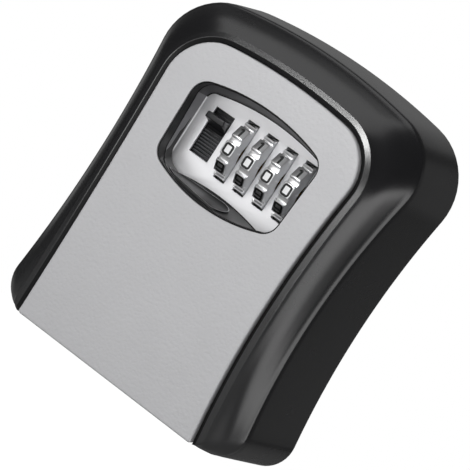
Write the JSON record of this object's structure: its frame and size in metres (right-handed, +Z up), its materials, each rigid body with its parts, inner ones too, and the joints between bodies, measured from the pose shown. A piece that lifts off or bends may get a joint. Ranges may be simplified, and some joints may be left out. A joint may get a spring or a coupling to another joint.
{
  "type": "combination key safe",
  "caption": "Wall-mounted key safe with a waisted black shell and a fold-down grey door that carries a resettable dial lock with an opening slider.",
  "frame": {"origin": "centre of the four wall-screw holes, on the plane of the wall", "axes": "+X to the right seen from the front, +Z up, +Y into the wall, so the front faces -Y"},
  "size_m": [0.0986, 0.041, 0.115],
  "materials": {
    "shell": "satin black moulded ABS",
    "tray": "zinc-plated sheet",
    "fastener": "plated steel",
    "sheet": "plain steel sheet",
    "door": "light grey, fine leather grain",
    "bezel": "black moulded",
    "face": "satin silver",
    "chassis": "die-cast",
    "spring": "spring steel",
    "dial": "satin chrome",
    "hub": "turned",
    "slider": "black, ribbed"
  },
  "bodies": {
    "base": {"outer_shell": "shell", "inner_box": "tray", "tray_screws": "fastener", "hinge_pin": "fastener", "keeper": "sheet", "keeper_rivets": "fastener"},
    "door": {"door_panel": "door", "window_bezel": "bezel", "lock_face": "face", "lock_chassis": "chassis", "chassis_screws": "fastener", "rear_cover": "sheet", "rear_cover_screws": "fastener", "detent_spring": "spring", "latch_spring": "spring"},
    "wheel_1": {"dial_1": "dial"},
    "wheel_2": {"dial_2": "dial"},
    "wheel_3": {"dial_3": "dial"},
    "wheel_4": {"dial_4": "dial"},
    "reset": {"dial_axle": "fastener", "axle_clip": "spring", "reset_lever": "sheet"},
    "hub_1": {"code_hub_1": "hub"},
    "hub_2": {"code_hub_2": "hub"},
    "hub_3": {"code_hub_3": "hub"},
    "hub_4": {"code_hub_4": "hub"},
    "latch": {"open_slider": "slider", "latch_plate": "sheet", "latch_screw": "fastener"}
  },
  "joints": [
    {"name": "door_swing", "type": "hinge", "parent": "base", "child": "door", "pos_m": [0, -0.0306, -0.0533], "axis": [1, 0, 0], "range_deg": [0, 100]},
    {"name": "latch_slide", "type": "slide", "parent": "door", "child": "latch", "axis": [0, 0, -1], "range_m": [0, 0.006], "stiffness_N_per_m": 200, "springref_m": -0.004, "deforming": ["latch_spring"]},
    {"name": "reset_slide", "type": "slide", "parent": "door", "child": "reset", "axis": [1, 0, 0], "range_m": [0, 0.0015]},
    {"name": "dial_1_turn", "type": "hinge", "parent": "door", "child": "wheel_1", "pos_m": [-0.00565, -0.0248, 0.0184], "axis": [1, 0, 0], "continuous": true, "deforming": ["detent_spring"]},
    {"name": "dial_2_turn", "type": "hinge", "parent": "door", "child": "wheel_2", "pos_m": [0.00157, -0.0248, 0.0184], "axis": [1, 0, 0], "continuous": true},
    {"name": "dial_3_turn", "type": "hinge", "parent": "door", "child": "wheel_3", "pos_m": [0.00879, -0.0248, 0.0184], "axis": [1, 0, 0], "continuous": true},
    {"name": "dial_4_turn", "type": "hinge", "parent": "door", "child": "wheel_4", "pos_m": [0.01601, -0.0248, 0.0184], "axis": [1, 0, 0], "continuous": true},
    {"name": "hub_1_turn", "type": "hinge", "parent": "reset", "child": "hub_1", "pos_m": [-0.00565, -0.0248, 0.0184], "axis": [1, 0, 0], "continuous": true},
    {"name": "hub_2_turn", "type": "hinge", "parent": "reset", "child": "hub_2", "pos_m": [0.00157, -0.0248, 0.0184], "axis": [1, 0, 0], "continuous": true},
    {"name": "hub_3_turn", "type": "hinge", "parent": "reset", "child": "hub_3", "pos_m": [0.00879, -0.0248, 0.0184], "axis": [1, 0, 0], "continuous": true},
    {"name": "hub_4_turn", "type": "hinge", "parent": "reset", "child": "hub_4", "pos_m": [0.01601, -0.0248, 0.0184], "axis": [1, 0, 0], "continuous": true}
  ],
  "couplings": [
    {"joint": "hub_1_turn", "follows": "dial_1_turn", "ratio": 1},
    {"joint": "hub_2_turn", "follows": "dial_2_turn", "ratio": 1},
    {"joint": "hub_3_turn", "follows": "dial_3_turn", "ratio": 1},
    {"joint": "hub_4_turn", "follows": "dial_4_turn", "ratio": 1}
  ]
}
